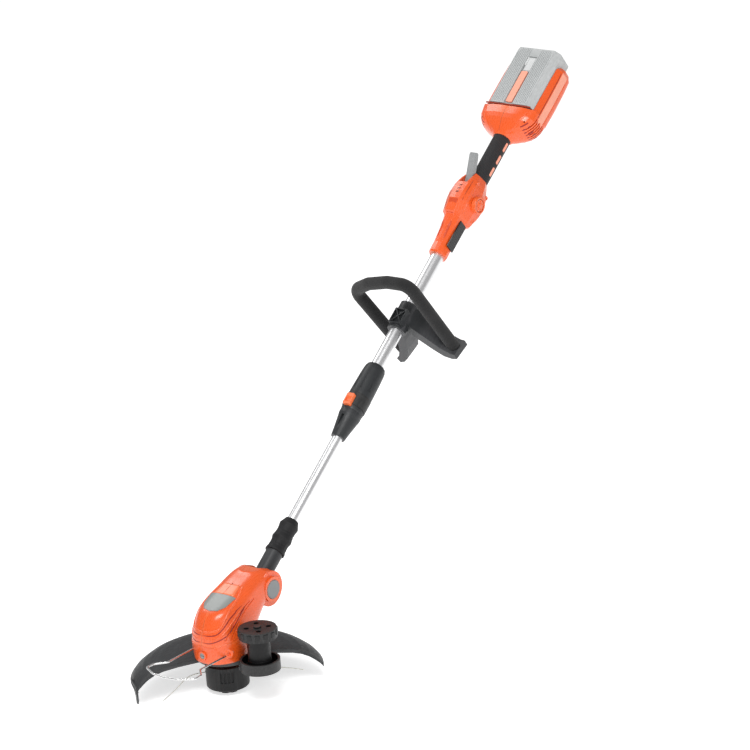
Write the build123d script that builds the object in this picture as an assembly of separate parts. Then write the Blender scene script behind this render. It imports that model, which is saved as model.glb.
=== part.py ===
from build123d import *
import os, math

os.makedirs("parts", exist_ok=True)

# ---------------------------------------------------------------- driving dimensions (mm)
SHAFT_ANGLE = 37.0        # boom above the ground plane while cutting
PIVOT_X = 110.0           # head tilt axis behind the spool axis
PIVOT_Z = 180.0           # head tilt axis above the bump foot

SPOOL_R = 43.0            # spool housing radius
SPOOL_Z0, SPOOL_Z1 = 9.0, 58.0
LINE_Z = 38.0             # height of the cutting line above the bump foot
LINE_R = 1.0              # trimmer line radius
EXIT_AZ = 129.0           # direction of the first line outlet, second is opposite
KNOB_R = 26.0
BUMP_TRAVEL = 5.0

GUARD_R = 192.0           # outer radius of the guard
GUARD_A0, GUARD_A1 = -51.0, 150.0
GUARD_T = 2.8

BASE_Z0, BASE_Z1 = 77.0, 118.0   # lower ring of the motor housing
WALL = 3.0

WHEEL_X, WHEEL_Y = -12.0, -98.5
WHEEL_R = 38.0
WHEEL_FLANGE_R = 40.0
WHEEL_HUB_R = 23.0
WHEEL_Z0, WHEEL_Z1 = 66.0, 154.0

BAIL_WIRE_R = 2.0
BAIL_Z = 95.0
BAIL_Y = 41.0
BAIL_REACH = 190.0

LOWER_R, LOWER_RI = 11.0, 9.8
UPPER_R, UPPER_RI = 14.0, 12.8
SLIDE = 120.0             # telescoping travel

COUP_S0, COUP_S1, COUP_S2 = 362.0, 424.0, 542.0
HANDLE_S = 670.0
HANDLE_TURN = 17.0        # handle turned out of square on the tube
HANDLE_TILT = -8.0
HANDLE_W = 87.0
FOAM_R = 13.5

HOUSING_S0, HOUSING_S1 = 826.0, 1022.0
GRIP_R = 19.0
GRIP_S0, GRIP_S1 = 1022.4, 1140.0
DOCK_S0, DOCK_S1 = 1150.0, 1326.0
BATT_S0, BATT_S1 = 1203.0, 1350.0
BATT_W = 58.5
BATT_TOP = 41.0

th = math.radians(SHAFT_ANGLE)
SH = Plane(origin=(PIVOT_X, 0, PIVOT_Z), x_dir=(-math.sin(th), 0, math.cos(th)),
           z_dir=(math.cos(th), 0, math.sin(th)))      # x = upper side, y = operator's left, z = along boom
SHL = SH.location

parts = {}


def save(name, shape, at_shaft=False):
    if at_shaft:
        shape = SHL * shape
    solids = shape.solids()
    shape = solids[0] if len(solids) == 1 else Compound(children=list(solids))
    export_step(shape, f"parts/{name}.step")
    parts[name] = shape
    bb = shape.bounding_box()
    print(f"{name:26s} solids {len(solids)} vol {shape.volume:10.0f} valid {shape.is_valid} "
          f"x {bb.min.X:.0f}..{bb.max.X:.0f} y {bb.min.Y:.0f}..{bb.max.Y:.0f} z {bb.min.Z:.0f}..{bb.max.Z:.0f}")


def cyl(r, z0, z1, x=0.0, y=0.0):
    return Pos(x, y, z0) * Cylinder(r, z1 - z0, align=(Align.CENTER, Align.CENTER, Align.MIN))


def tube(ro, ri, z0, z1, x=0.0, y=0.0):
    return cyl(ro, z0, z1, x, y) - cyl(ri, z0 - 1, z1 + 1, x, y)


def box(x0, x1, y0, y1, z0, z1):
    return Pos((x0 + x1) / 2, (y0 + y1) / 2, (z0 + z1) / 2) * Box(x1 - x0, y1 - y0, z1 - z0)


def ycyl(r, y0, y1, x=0.0, z=0.0):
    # cylinder along Y
    return Pos(x, (y0 + y1) / 2, z) * Rot(90, 0, 0) * Cylinder(r, abs(y1 - y0))


def revolve_profile(pts):
    # pts are (radius, z) closed
    face = make_face(Polyline(*[(r, 0, z) for r, z in pts], close=True))
    return revolve(face, Axis.Z, 360)


def superellipse(cx, cy, a, b, z, p, n=28):
    pts = []
    for i in range(n):
        t = 2 * math.pi * i / n
        c, s_ = math.cos(t), math.sin(t)
        pts.append((cx + a * math.copysign(abs(c) ** (2 / p), c),
                    cy + b * math.copysign(abs(s_) ** (2 / p), s_), z))
    return make_face(Spline(*pts, periodic=True))


# ================================================================= cutting head
# spool housing: cup with a bottom lip that holds the bump knob, two line outlets
housing = fillet(cyl(SPOOL_R, SPOOL_Z0, SPOOL_Z1).edges().filter_by(GeomType.CIRCLE).group_by(Axis.Z)[0], 4.0)
housing = housing - cyl(39.0, SPOOL_Z0 + 3, SPOOL_Z1 - 2.5) - cyl(KNOB_R + 1.0, SPOOL_Z0 - 1, SPOOL_Z0 + 4)
housing += cyl(9.0, SPOOL_Z1 - 3, SPOOL_Z1 + 10)
housing -= cyl(4.0, 40, 80)
for side in (EXIT_AZ + 90, EXIT_AZ - 90):      # two groups of finger slots
    for k in (-1.5, -0.5, 0.5, 1.5):
        housing -= Rot(0, 0, side + k * 10.0) * box(SPOOL_R - 1.8, SPOOL_R + 2, -1.9, 1.9, 28.0, 50.0)
outlets = Part()
for a in (EXIT_AZ, EXIT_AZ + 180):
    housing -= Rot(0, 0, a) * (Pos(41, 0, LINE_Z) * Rot(0, 90, 0) * Cylinder(3.5, 12))
save("spool_housing", housing)
eyes = []
for a in (EXIT_AZ, EXIT_AZ + 180):
    e = Rot(0, 0, a) * (Pos(41.2, 0, LINE_Z) * Rot(0, 90, 0) * (Cylinder(3.5, 5.2) - Cylinder(1.6, 8)))
    eyes.append(e)
save("line_eyelets", eyes[0] + eyes[1])

knob = cyl(KNOB_R, 0, 13.2) + cyl(30.0, 13.2, 29.0)
for k in range(8):
    knob -= Rot(0, 0, k * 45) * cyl(4.6, -1, 8.4, KNOB_R + 2.4, 0)
knob -= cyl(14, 12, 30)
knob -= tube(27.5, 16.5, 16.5, 30)
knob = chamfer(knob.edges().filter_by(GeomType.CIRCLE).group_by(Axis.Z)[0], 1.2)
save("bump_knob", knob)
reel = cyl(36.5, 29.0, 31.0) + cyl(36.5, 47.5, 49.5) + cyl(20, 29, 49.5)
reel -= cyl(12.0, 28, 60)
save("spool_reel", reel)
save("wound_line", tube(33.0, 20.0, 31.2, 47.3))

# drive: shaft and rotor turn with the spool, can is fixed to the base
save("drive_shaft", cyl(4.0, 46.0, 150.0))
save("motor_rotor", tube(19.5, 4.0, 92, 134))
can = cyl(27, 84, 142) - cyl(24.5, 87, 139) + tube(24.5, 20.5, 94, 132)
can -= cyl(4.06, 80, 150)
for k in range(6):
    can -= Rot(0, 0, k * 60) * box(11, 18, -3.5, 3.5, 80, 150)
save("motor_can", can)


# motor housing: outer form as a loft through level sections (z, x front, x back, half width, squareness)
SECT = [(77, -64, 60, 53, 2.2), (92, -67, 62, 54, 2.2), (118, -68, 70, 54, 2.3), (140, -65, 88, 52, 2.4),
        (160, -56, 112, 48, 2.6), (176, -42, 134, 44.5, 2.9), (190, -12, 141, 42, 3.1), (204, 26, 138, 39, 3.1),
        (215, 56, 126, 34, 2.8), (223, 76, 108, 22, 2.3)]


def body_loft(sects, inset):
    faces = []
    for z, x0, x1, b, p in sects:
        faces.append(superellipse((x0 + x1) / 2, 0, (x1 - x0) / 2 - inset, b - inset, z, p))
    return loft(faces)


outer = body_loft(SECT, 0)
inner_sect = [(s_[0] if 80 < s_[0] < 216 else (76 if s_[0] < 80 else 219.5), *s_[1:]) for s_ in SECT[:-1]]
inner = body_loft([(z, x0 + (0 if z < 170 else 6), x1, b, p) for z, x0, x1, b, p in
                   [(70, -64, 60, 53, 2.2), (92, -67, 62, 54, 2.2), (118, -68, 70, 54, 2.3), (140, -65, 88, 52, 2.4),
                    (160, -56, 112, 48, 2.6), (176, -36, 130, 44, 2.9), (190, -2, 136, 41, 3.1), (203, 38, 130, 37, 3.1),
                    (212, 66, 114, 28, 2.8)]], WALL)

ear_r = 36.0
ears = ycyl(ear_r, -37, 37, PIVOT_X, PIVOT_Z)
slot = ycyl(37.0, -18.3, 18.3, PIVOT_X, PIVOT_Z)
wedge_pts = [(PIVOT_X, PIVOT_Z)]
for a in (-62, -20, 20, 60, 101):
    r_ = 95.0
    wedge_pts.append((PIVOT_X + r_ * math.cos(math.radians(a)), PIVOT_Z + r_ * math.sin(math.radians(a))))
wedge = extrude(Plane.XZ * make_face(Polyline(*wedge_pts, close=True)), amount=18.3, both=True)
slot = slot + wedge
outer_full = outer + ears
# boss rings round the tilt axis
boss = ycyl(25.5, -43.5, -30, PIVOT_X, PIVOT_Z) + ycyl(25.5, 30, 41, PIVOT_X, PIVOT_Z)
solid_head = outer_full + boss
# keep the ear zone solid round the pin, hollow elsewhere
keep = ycyl(34.5, -50, 50, PIVOT_X, PIVOT_Z)
cheek = ycyl(40.5, -21.3, 21.3, PIVOT_X, PIVOT_Z) + extrude(Plane.XZ * make_face(Polyline(*[(PIVOT_X + (x - PIVOT_X) * 1.02 - 3.2, z - 0.0) for x, z in wedge_pts], close=True)), amount=21.3, both=True)
cavity = inner - keep - cheek
head_shell = solid_head - cavity - slot
head_shell -= ycyl(19.5, -50, -35.0, PIVOT_X, PIVOT_Z)       # recess for the tilt button
head_shell -= ycyl(13.0, 36.0, 50.0, PIVOT_X, PIVOT_Z)       # recess for the pin head
head_shell -= ycyl(7.95, -60, 60, PIVOT_X, PIVOT_Z)

upper = head_shell & box(-200, 300, -100, 100, BASE_Z1, 300)
# decorative side grooves
for sy in (-1, 1):
    for dx in (0, 13):
        path = Polyline((-46 + dx, 0, 128), (-22 + dx, 0, 152), (8 + dx, 0, 172), (34 + dx, 0, 186))
        arc = Spline((-46 + dx, 0, 126), (-24 + dx, 0, 150), (6 + dx, 0, 170), (36 + dx, 0, 182))
        prof = (arc ^ 0)
        g = sweep(prof * Rectangle(2.6, 120), path=arc)
        shell_band = outer - body_loft(SECT, 1.3)
        g = g & shell_band & (box(-200, 300, 5, 100, 100, 250) if sy > 0 else box(-200, 300, -100, -5, 100, 250))
        upper -= g
left = upper & box(-200, 300, -100, 0, 0, 300)
right = upper & box(-200, 300, 0, 100, 0, 300)
save("motor_housing_left", left.solids().sort_by(SortBy.VOLUME)[-1])
save("motor_housing_right", right.solids().sort_by(SortBy.VOLUME)[-1])

base = (outer & box(-200, 300, -100, 100, BASE_Z0, BASE_Z1 - 0.001)) - inner
base += (outer & box(-200, 300, -100, 100, BASE_Z0, BASE_Z0 + 3.5))
base += cyl(30, BASE_Z0, 96)
base -= cyl(27.0, 84, 120)
base -= cyl(11.0, 60, 100)
for sy in (-1, 1):
    blk = box(-58, 40, sy * BAIL_Y - 5, sy * BAIL_Y + 5, BASE_Z0 + 1, BAIL_Z + 6)
    base += (blk & outer)
    base -= Pos(-33, sy * BAIL_Y, BAIL_Z) * Rot(0, 90, 0) * Cylinder(BAIL_WIRE_R + 0.05, 134)
# round boss carrying the front screw
base += Pos(-64.5, 0, 95) * Rot(0, 90, 0) * Cylinder(9, 12)
base -= Pos(-66.5, 0, 95) * Rot(0, 90, 0) * Cylinder(6.2, 8.1)
save("motor_base", base.solids().sort_by(SortBy.VOLUME)[-1])
save("front_screw", Pos(-66.0, 0, 95) * Rot(0, 90, 0) * Cylinder(6.0, 6.9) - Pos(-69.4, 0, 95) * Box(2.4, 9, 1.6))

# badge plate lying on the sloped face above the nose
bx0, bz0, bx1, bz1 = -38.0, 180.6, 8.0, 198.2
slope = math.atan2(bz1 - bz0, bx1 - bx0)
BP = Plane(origin=((bx0 + bx1) / 2, 0, (bz0 + bz1) / 2 + 1.0), x_dir=(math.cos(slope), 0, math.sin(slope)),
           z_dir=(-math.sin(slope), 0, math.cos(slope)))
badge_face = make_face(Polyline((24, -31), (24, 31), (-6, 27), (-21, 17), (-25, 0), (-21, -17), (-6, -27), close=True))
badge = BP.location * extrude(badge_face, amount=8, both=True)
outer_in = body_loft(SECT, 1.2)
band = (Pos(0, 0, 1.2) * outer) - outer
badge_body = (badge & (outer + (Pos(0, 0, 1.3) * outer))) - outer
save("badge_plate", badge_body.solids().sort_by(SortBy.VOLUME)[-1])

# tilt pin (fixed in the ears) and tilt release button
pin = ycyl(7.95, -34.8, 36.2, PIVOT_X, PIVOT_Z) + ycyl(12.8, 36.2, 40.5, PIVOT_X, PIVOT_Z)
pin -= ycyl(5.0, -40, 20, PIVOT_X, PIVOT_Z)
save("tilt_pin", pin)
btn = ycyl(19.0, -45.0, -39.5, PIVOT_X, PIVOT_Z) + ycyl(4.95, -39.5, -10, PIVOT_X, PIVOT_Z)
btn = chamfer(btn.edges().filter_by(GeomType.CIRCLE).group_by(Axis.Y)[0], 1.2)
save("tilt_button", btn)

# guard: domed sector with an inner mounting collar
prof_o = [(44, 76.8), (100, 76.0), (132, 73.5), (150, 69.5), (165, 62.5), (176, 54.5), (185, 47.0), (GUARD_R, 38.0)]
prof_i = [(GUARD_R - 2.6, 37.0), (183, 44.8), (174, 52.0), (163, 59.8), (149, 66.6), (131, 70.7), (100, 73.1), (44, 74.0)]
gface = make_face(Polyline(*[(r, 0, z) for r, z in prof_o + prof_i], close=True))
gsec = Rot(0, 0, GUARD_A0) * revolve(gface, Axis.Z, GUARD_A1 - GUARD_A0)
collar = tube(57.5, 44, 70.0, 76.8)
guard = gsec + collar


def radial_rib(az, z_low=6.5):
    pts_hi = [(55, 76.5), (100, 75.8), (132, 73.3), (150, 69.3), (165, 62.3), (176, 54.3), (185, 46.8), (GUARD_R - 0.3, 38.3)]
    pts_lo = [(r, z - z_low) for r, z in reversed(pts_hi)]
    f = make_face(Polyline(*[(r, 0, z) for r, z in pts_hi + pts_lo], close=True))
    return Rot(0, 0, az) * extrude(f, amount=1.5, both=True)


for az in (GUARD_A0 + 0.6, GUARD_A1 - 0.6):
    guard += radial_rib(az, 8.0)
for az in (-18, 16, 50, 84, 118):
    guard += radial_rib(az, 5.0)
# claw at the leading tip that carries the line cutter
claw = Rot(0, 0, GUARD_A1 - 7.0) * extrude(
    Plane.YZ * make_face(Polyline((-22, 46), (24, 42), (27, 28), (22, 11), (15, 11), (12, 24), (2, 32), (-22, 36), close=True)), amount=3.0)
claw = Rot(0, 0, GUARD_A1 - 7.0) * (Pos(GUARD_R - 5.2, 0, 0) * extrude(
    Plane.YZ * make_face(Polyline((-22, 46), (22, 44), (26, 28), (24, 10), (16, 10), (12, 24), (2, 31), (-22, 37), close=True)), amount=3.2))
guard += claw
for k in range(3):
    a = 20 + k * 60
    guard -= Rot(0, 0, a) * cyl(2.2, 60, 80, 51, 0)
save("guard", guard.solids().sort_by(SortBy.VOLUME)[-1])
gs = []
for k in range(3):
    a = 20 + k * 60
    gs.append(Rot(0, 0, a) * (cyl(4.0, 67.0, 70.0, 51, 0) + cyl(2.2, 70.0, 76.9, 51, 0)))
save("guard_screws", gs[0] + gs[1] + gs[2])
cut = Rot(0, 0, GUARD_A1 - 7.0) * (Pos(GUARD_R - 6.9, 0, 0) * extrude(
    Plane.YZ * make_face(Polyline((14, 34), (25, 34), (27, 16), (20, 13), (13, 20), close=True)), amount=1.6))
save("line_cutter", cut)

# wire bail that keeps plants clear, both ends slide in the base
XF = -BAIL_REACH + BAIL_WIRE_R
bail_pts = [(-10, BAIL_Y), (-126, BAIL_Y), (-146, 60), (-166, 62), (XF + 4, 30), (XF, 0),
            (XF + 4, -30), (-166, -62), (-146, -60), (-126, -BAIL_Y), (-10, -BAIL_Y)]
bail_line = FilletPolyline(*[(x, y, BAIL_Z) for x, y in bail_pts], radius=9)
bail_plane = Plane(origin=(-10, BAIL_Y, BAIL_Z), z_dir=(-1, 0, 0))
bail = sweep(bail_plane * Circle(BAIL_WIRE_R), path=bail_line)
save("wire_bail", bail)

# edge wheel on a side arm
arm = extrude(make_face(Polyline((-22, -50), (22, -50), (0, -104), (-26, -104), close=True)), amount=6.5)
arm = Pos(0, 0, 57.5) * arm + cyl(15, 57.5, 64.0, WHEEL_X, WHEEL_Y)
arm += box(-20, 20, -56.0, -49, 57.5, 70.0)
arm -= cyl(46.0, 50, 75)
arm -= cyl(5.0, 50, 80, WHEEL_X, WHEEL_Y)
save("wheel_arm", arm)
axle = cyl(5.0, 57.6, 64.1, WHEEL_X, WHEEL_Y) + cyl(4.95, 64.1, WHEEL_Z1 + 0.6, WHEEL_X, WHEEL_Y) + cyl(8.0, WHEEL_Z1 + 0.6, WHEEL_Z1 + 3.0, WHEEL_X, WHEEL_Y)
axle += cyl(7.5, 64.1, 65.5, WHEEL_X, WHEEL_Y)
save("wheel_axle", axle)
wheel = cyl(WHEEL_FLANGE_R, WHEEL_Z0, WHEEL_Z0 + 22) + cyl(WHEEL_HUB_R, WHEEL_Z0, WHEEL_Z1) + cyl(WHEEL_R, WHEEL_Z1 - 20, WHEEL_Z1)
wheel -= tube(WHEEL_FLANGE_R - 4.5, WHEEL_HUB_R + 0.5, WHEEL_Z0 + 6, WHEEL_Z0 + 30)
wheel -= tube(WHEEL_HUB_R - 4, 9, WHEEL_Z0 - 1, WHEEL_Z1 - 8)
for k in range(4):
    wheel -= cyl(5.2, WHEEL_Z1 - 6, WHEEL_Z1 + 2, 22 * math.cos(math.radians(45 + 90 * k)), 22 * math.sin(math.radians(45 + 90 * k)))
wheel = Pos(WHEEL_X, WHEEL_Y, 0) * wheel
wheel += tube(WHEEL_FLANGE_R - 4, WHEEL_HUB_R, WHEEL_Z0 + 1, WHEEL_Z0 + 6, WHEEL_X, WHEEL_Y)
wheel -= cyl(5.0, 60, 170, WHEEL_X, WHEEL_Y)
save("edge_wheel", wheel)


# cutting line: two stiff nylon stubs leaving opposite outlets
def line_stub(pts, radius):
    ln = FilletPolyline(*pts, radius=radius)
    d = Vector(*pts[1]) - Vector(*pts[0])
    return sweep(Plane(origin=pts[0], z_dir=(d.X, d.Y, d.Z)) * Circle(LINE_R), path=ln)


def pol(r, a, z):
    return (r * math.cos(math.radians(a)), r * math.sin(math.radians(a)), z)


save("line_left", line_stub([pol(39.5, 129, LINE_Z), pol(56, 129, LINE_Z), pol(82, 140, 37.0), pol(112, 156, 28.0), pol(152, 163, 20.0)], 14))
save("line_right", line_stub([pol(39.5, -51, LINE_Z), pol(60, -51, LINE_Z), pol(110, -50, 37.0), pol(152, -56, 33.0)], 20))

# ================================================================= boom (local frame: x up, y left, z along boom)
kn = ycyl(34.0, -17.9, 17.9, 0, 0)
kn += cyl(17.8, 10, 88)
kn = kn - ycyl(8.0, -30, 30, 0, 0) - cyl(11.0, 60, 100)
save("tilt_knuckle", kn, True)
boot = revolve_profile([(17.8, 79), (20.6, 79.5), (21.0, 81), (20.6, 84), (19.0, 90), (18.9, 93), (18.4, 96), (18.9, 104), (20.8, 110),
                        (21.0, 111.5), (20.6, 114), (19.2, 120), (19.0, 123), (18.3, 126), (18.8, 134), (20.0, 141), (20.2, 143.5),
                        (19.6, 145), (15.2, 154.5), (14.3, 157), (11.0, 157), (11.0, 89), (17.8, 89)])
save("boom_boot", boot, True)
save("lower_tube", tube(LOWER_R, LOWER_RI, 62, 560), True)
save("slide_bushing", tube(12.72, 11.0, 545, 559.5), True)

cone = revolve_profile([(11.05, 362), (14.6, 362), (15.3, 364), (17.5, 380), (22.0, 408), (23.4, 414), (23.4, 424), (18.0, 424), (18.0, 440), (11.05, 440)])
cone -= box(17, 30, -3, 3, 372, 408)
save("turn_collar", cone, True)
shell = revolve_profile([(18.06, 424.4), (23.4, 424.4), (24.1, 428), (24.5, 440), (24.9, 466), (24.5, 485), (23.7, 510), (22.8, 527), (21.8, 534),
                         (19.8, 539), (17.0, 541.4), (14.0, COUP_S2), (14.0, 447), (18.06, 441)])
shell = shell - tube(30, 23.2, 433, 463)
for a in (62, 20, -22, 180, 140, -140):
    shell -= Rot(0, 0, a) * box(23.4, 30, -1.9, 1.9, 474, 522)
shell -= box(17.8, 40, -9.4, 9.4, 427, 454.6)
save("coupling_shell", shell, True)
bandp = tube(25.3, 23.2, 433.2, 462.8)
bandp -= box(17.8, 40, -9.4, 9.4, 420, 454.6)
save("coupling_band", bandp, True)
latch = box(21.6, 30.6, -9.0, 9.0, 427.6, 454.2)
latch = fillet(latch.edges().filter_by(Axis.X), 2.5)
latch -= Pos(37.0, 0, 440) * Rot(90, 0, 0) * Cylinder(9.0, 12)
save("latch_button", latch, True)
save("upper_tube", tube(UPPER_R, UPPER_RI, 447, 1000), True)

# ---- front handle
BOLT_X, BOLT_Z = -26.0, 36.0   # clamp bolt below the tube, along the operator's left to right
HL = Pos(0, 0, HANDLE_S) * Rot(0, 0, -HANDLE_TURN) * Rot(0, HANDLE_TILT, 0)
# handle plane: x = away from the boom on the upper side, y = left
clamp = tube(20.5, 14.06, -38, 26)
clamp += box(14.5, 21.0, -16, 16, -24, 22)
clamp -= box(-40, 0, -40, 40, -60, 60)
clampR = Pos(0, 0, HANDLE_S) * Rot(0, 0, -HANDLE_TURN)
uo = Spline((0.2, 20.0), (-16, 27), (-46, 47), (-80, 69), (-97, 86))
upts_o = [(2, 19.5), (-14, 26), (-42, 44), (-74, 64), (-92, 82), (-96, 92)]
upts_i = [(-108, 90), (-107, 76), (-98, 58), (-76, 40), (-48, 21), (-27, 10), (-22, 0)]
ring_pts = upts_o + upts_i
full = ring_pts + [(x, -y) for x, y in reversed(ring_pts[:-1])]
u_face = make_face(Polyline(*full, close=True))
u_body = extrude(u_face, amount=21.0, both=True)
bracket = (clampR * tube(20.5, 14.06, -38, 26)) + (HL * u_body) + (clampR * box(-33, -14, -8.5, 8.5, 14, 45)) - (clampR * cyl(14.06, -80, 80))
bracket -= clampR * ycyl(3.0, -20, 20, BOLT_X, BOLT_Z)
# split the collar: the cap closes the upper side
cap_zone = clampR * box(0.4, 60, -60, 60, -80, 80)
bracket_low = bracket - cap_zone
end_l = HL * (Pos(-101, 77.5, 0) * Cylinder(1, 1))
save("handle_bracket", bracket_low.solids().sort_by(SortBy.VOLUME)[-1] - Part(), True)
cap = clampR * tube(20.5, 14.06, -38, 26)
cap = cap & (clampR * box(0.4, 60, -60, 60, -80, 80))
# raised block with crossed ribs on its face
BW0, BW1, BS0, BS1, BN = -11.0, 19.0, 638.0, 674.0, 25.0
cap += box(10.0, BN, BW0, BW1, BS0, BS1)
bwc, bsc = (BW0 + BW1) / 2, (BS0 + BS1) / 2
pocket = box(BN - 5.5, BN + 2, BW0 + 2.2, BW1 - 2.2, BS0 + 2.2, BS1 - 2.2)
diag = math.degrees(math.atan2(BW1 - BW0 - 4, BS1 - BS0 - 4))
for sg in (1, -1):
    pocket -= Pos(BN, bwc, bsc) * Rot(sg * diag, 0, 0) * Box(16, 2.2, 60)
cap -= pocket
cap -= cyl(14.06, 500, 800)
save("handle_clamp_cap", cap, True)

grip_pts = [(-96, 78), (84, HANDLE_W), (97, 30), (97, -30), (84, -HANDLE_W), (-96, -78)]
core_line = FilletPolyline(*[(x, y, 0) for x, y in grip_pts], radius=26)
d0 = Vector(*grip_pts[1]) - Vector(*grip_pts[0])
foam_line = FilletPolyline(*[(x, y, 0) for x, y in [(-92, 78.2)] + grip_pts[1:-1] + [(-92, -78.2)]], radius=26)
core_sec = Plane(origin=(grip_pts[0][0], grip_pts[0][1], 0), z_dir=(d0.X, d0.Y, 0))
foam_sec = Plane(origin=(-92, 78.2, 0), z_dir=(d0.X, d0.Y, 0))
foam = sweep(foam_sec * Circle(FOAM_R), path=foam_line) - sweep(core_sec * Circle(7.0), path=core_line)
core = sweep(core_sec * Circle(7.0), path=core_line) - sweep(core_sec * Circle(5.6), path=core_line)
u_cut = HL * u_body
foam_w = (HL * foam) - u_cut
save("foam_grip", foam_w.solids().sort_by(SortBy.VOLUME)[-1], True)
core_w = (HL * core) - u_cut
save("handle_core", core_w.solids().sort_by(SortBy.VOLUME)[-1], True)
# clamp bolt and hand knob below the boom
kb = clampR * ycyl(3.0, -14.0, 18.0, BOLT_X, BOLT_Z) + clampR * ycyl(5.5, -12.6, -8.6, BOLT_X, BOLT_Z)
knob2 = clampR * ycyl(9.6, 8.9, 22.0, BOLT_X, BOLT_Z)
for k in range(8):
    knob2 -= clampR * ycyl(1.9, 7, 24, BOLT_X + 10.4 * math.cos(math.radians(45 * k)), BOLT_Z + 10.4 * math.sin(math.radians(45 * k)))
knob2 -= clampR * ycyl(3.06, -20, 18.2, BOLT_X, BOLT_Z)
save("clamp_bolt", kb, True)
save("clamp_knob", knob2, True)

# ---- switch housing (s, n low, n high, half width, squareness)
HS = [(826, -19, 19, 19, 2.2), (836, -18.6, 20, 19.2, 2.3), (850, -18.2, 22, 19.5, 2.4), (865, -18, 24, 20, 2.5), (880, -18, 26, 20.5, 2.6), (895, -19, 28.3, 21, 2.6),
      (907, -21, 31, 21.8, 2.6), (916, -24.5, 35, 23.5, 2.5), (922, -28.5, 39.5, 26, 2.4),
      (928, -32.5, 43, 28, 2.4), (937, -36.5, 45, 30, 2.35), (950, -40, 46.3, 31.5, 2.3), (966, -42, 46.5, 32, 2.3), (980, -40.5, 45, 31.5, 2.3), (992, -36.5, 42.8, 30, 2.4),
      (1002, -31, 40, 27.5, 2.45), (1010, -25, 37.5, 25, 2.5), (1017, -20.5, 35, 22.5, 2.5), (1022, -19, 33, 20.5, 2.4)]


def s_loft(sects, inset):
    return loft([superellipse((a + b) / 2, 0, (b - a) / 2 - inset, w_ - inset, z, p) for z, a, b, w_, p in sects], ruled=True)


sw_out = s_loft(HS, 0)
sw_in = s_loft([h for h in HS if 928 <= h[0] <= 1002], WALL)
sw = sw_out - sw_in - cyl(UPPER_R, 800, 1001)
sw -= box(14, 60, -8.9, 8.9, 990.5, 1040)          # lever slot
sw -= cyl(15.9, 1000, 1040)
sw -= box(-9.5, 14.5, 19.2, 40, 846, 912)          # seat of the side pad
sw -= Pos(4, 0, 962) * Rot(90, 0, 0) * Cylinder(18.6, 8.2).moved(Location((0, 0, -33.2)))
sw -= ycyl(3.0, -16, 16, 24, 1001)
save("switch_housing_left", (sw & box(-100, 100, 0, 100, 700, 1200)).solids().sort_by(SortBy.VOLUME)[-1], True)
save("switch_housing_right", (sw & box(-100, 100, -100, 0, 700, 1200)).solids().sort_by(SortBy.VOLUME)[-1], True)
save("side_pad", box(-9.2, 14.2, 19.2, 22.6, 846.3, 911.7), True)
save("side_cap", Pos(4, 33.4, 962) * Rot(90, 0, 0) * Cylinder(18.4, 8.0), True)
save("lever_pin", ycyl(2.95, -15.8, 15.8, 24, 1001), True)
lev_pts = [(18.5, 996), (29.5, 995), (35, 1009), (60, 1051), (58.5, 1056), (52, 1056), (46, 1048), (24, 1012), (18.5, 1006)]
lev = extrude(Plane.XZ * make_face(Polyline(*lev_pts, close=True)), amount=8.2, both=True)
lev = fillet(lev.edges().filter_by(Axis.Y), 1.5)
lev -= ycyl(3.03, -30, 30, 24, 1001)
save("lock_lever", lev, True)
save("micro_switch", box(14.2, 26, -6, 6, 971, 988), True)
save("control_board", box(-24, -22.2, -18, 18, 948, 985), True)

# ---- rear grip and battery dock
grip = tube(GRIP_R, 15.4, GRIP_S0, GRIP_S1)
inl = []
for sc in (1052, 1084, 1117):
    b_ = box(-3.4, 3.4, 17.6, 30, sc - 11, sc + 11)
    b_ = fillet(b_.edges().filter_by(Axis.Y), 3.0)
    grip -= b_
    inl.append(b_ & tube(19.6, 17.65, 1000, 1200))
save("rear_grip", grip, True)
save("grip_inlays", inl[0] + inl[1] + inl[2], True)
save("grip_spine", tube(15.4, 12.5, 1001.2, 1150), True)

# dock: funnel from the grip, tall front wall, floor and side rails
DS = [(1137, -20, 20, 20.5, 2.2), (1142, -23, 22.5, 26.5, 2.3), (1148, -28, 26, 38.5, 2.5), (1155, -33, 29.5, 51.5, 2.7), (1162, -36, 33, 60.5, 2.9),
      (1170, -37.5, 35.5, 66.0, 3.2), (1180, -38, 37.5, 69.5, 3.5), (1200, -38, 38, 71, 4.0)]
front = s_loft(DS, 0)
front -= cyl(19.05, 1130, 1140.4)
front -= cyl(15.4, 1130, 1150.5)
tail = s_loft([(1200, -38, 31, 71, 4.0), (1240, -38, 30, 71.5, 4.2), (1290, -37, 29.5, 71, 4.2), (DOCK_S1 - 9, -35, 28.5, 70, 4.2), (DOCK_S1, -28, 20, 67, 4.0)], 0)
tail -= box(-8.3, 60, -BATT_W - 0.6, BATT_W + 0.6, 1198.2, 1400)
tail -= box(-31, -11.6, -61, 61, 1205, 1306)
front -= box(-8.3, 60, -BATT_W - 0.6, BATT_W + 0.6, 1198.2, 1400)
front -= box(-31, 28, -55, 55, 1168, 1195)
dock = front + tail
for k in range(7):
    dock -= box(-24 + 6.0 * k, -21.2 + 6.0 * k, 56, 84, 1152, 1190)
dock -= box(-40, -8, -20, 20, 1196, 1208)
save("dock_left", (dock & box(-100, 100, 0, 100, 1100, 1500)).solids().sort_by(SortBy.VOLUME)[-1], True)
save("dock_right", (dock & box(-100, 100, -100, 0, 1100, 1500)).solids().sort_by(SortBy.VOLUME)[-1], True)
save("dock_terminals", (box(4, 20, 11, 12.5, 1198.3, 1215) + box(4, 20, -12.5, -11, 1198.3, 1215) + box(2, 22, -16, 16, 1196.5, 1198.4)) - dock, True)

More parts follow.
